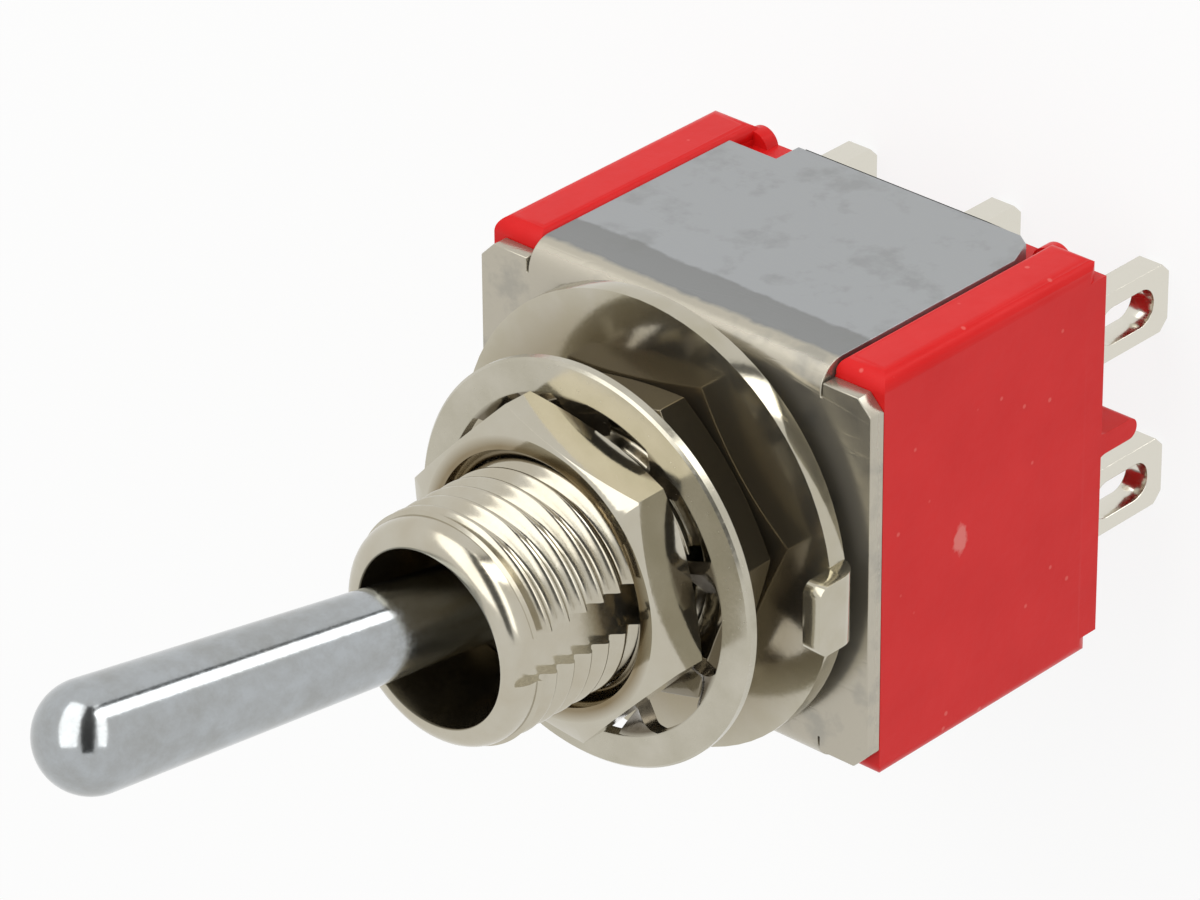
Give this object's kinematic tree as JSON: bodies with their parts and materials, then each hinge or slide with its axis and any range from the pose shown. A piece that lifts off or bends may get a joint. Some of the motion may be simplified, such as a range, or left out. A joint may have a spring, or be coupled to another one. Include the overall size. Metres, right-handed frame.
{
  "type": "panel toggle switch",
  "caption": "Panel toggle switch: tapered metal lever in a threaded bushing with hex nuts, toothed washer and keyed ring, on a red case with a sheet-metal cover and slotted solder lugs.",
  "frame": {"origin": "on the bushing's axis, in the plane of the cover plate's front face", "axes": "+Z along the bushing towards the lever; X along the throw, with the lever at rest thrown to -X and the locking ring's tab at +X; the two rows of lugs lie at -Y and +Y"},
  "size_m": [0.0134, 0.0126, 0.0327],
  "materials": {
    "cover": "nickel plated sheet, satin",
    "case": "moulded red plastic, semi-gloss",
    "bushing": "nickel plated, bright",
    "lever": "bright chrome plate",
    "carriage": "natural nylon",
    "plunger": "turned brass",
    "spring": "spring wire",
    "contact": "copper alloy with silver buttons",
    "lug": "tin plated",
    "ring": "nickel plated, bright",
    "nut": "nickel plated, bright",
    "washer": "nickel plated, bright"
  },
  "bodies": {
    "housing": {"frame_cover": "cover", "case": "case", "bushing": "bushing", "terminal_a1": "lug", "terminal_a2": "lug", "terminal_a3": "lug", "terminal_b1": "lug", "terminal_b2": "lug", "terminal_b3": "lug", "locking_ring": "ring", "rear_nut": "nut", "lock_washer": "washer", "front_nut": "nut"},
    "lever": {"lever": "lever"},
    "carriage": {"carriage": "carriage", "spring_a": "spring", "spring_b": "spring"},
    "plunger_a": {"plunger_a": "plunger"},
    "plunger_b": {"plunger_b": "plunger"},
    "rocker_a": {"rocker_a": "contact"},
    "rocker_b": {"rocker_b": "contact"}
  },
  "joints": [
    {"name": "lever_throw", "type": "hinge", "parent": "housing", "child": "lever", "pos_m": [0, 0, 0.00486], "axis": [0, 1, 0], "range_deg": [0, 26]},
    {"name": "carriage_slide", "type": "slide", "parent": "housing", "child": "carriage", "axis": [1, 0, 0], "range_m": [-0.00316, 0]},
    {"name": "plunger_a_lift", "type": "slide", "parent": "carriage", "child": "plunger_a", "axis": [0, 0, 1], "range_m": [0, 0.0005], "stiffness_N_per_m": 60, "springref_m": -0.002, "deforming": ["spring_a"]},
    {"name": "plunger_b_lift", "type": "slide", "parent": "carriage", "child": "plunger_b", "axis": [0, 0, 1], "range_m": [0, 0.0005], "stiffness_N_per_m": 60, "springref_m": -0.002, "deforming": ["spring_b"]},
    {"name": "rocker_a_tilt", "type": "hinge", "parent": "housing", "child": "rocker_a", "pos_m": [0, 0.0026, -0.00643], "axis": [0, 1, 0], "range_deg": [-14, 0]},
    {"name": "rocker_b_tilt", "type": "hinge", "parent": "housing", "child": "rocker_b", "pos_m": [0, -0.0026, -0.00643], "axis": [0, 1, 0], "range_deg": [-14, 0]}
  ],
  "couplings": [
    {"joint": "carriage_slide", "follows": "lever_throw", "m_per_rad": -0.0069401},
    {"joint": "rocker_a_tilt", "follows": "lever_throw", "ratio": -0.53846},
    {"joint": "rocker_b_tilt", "follows": "lever_throw", "ratio": -0.53846}
  ]
}
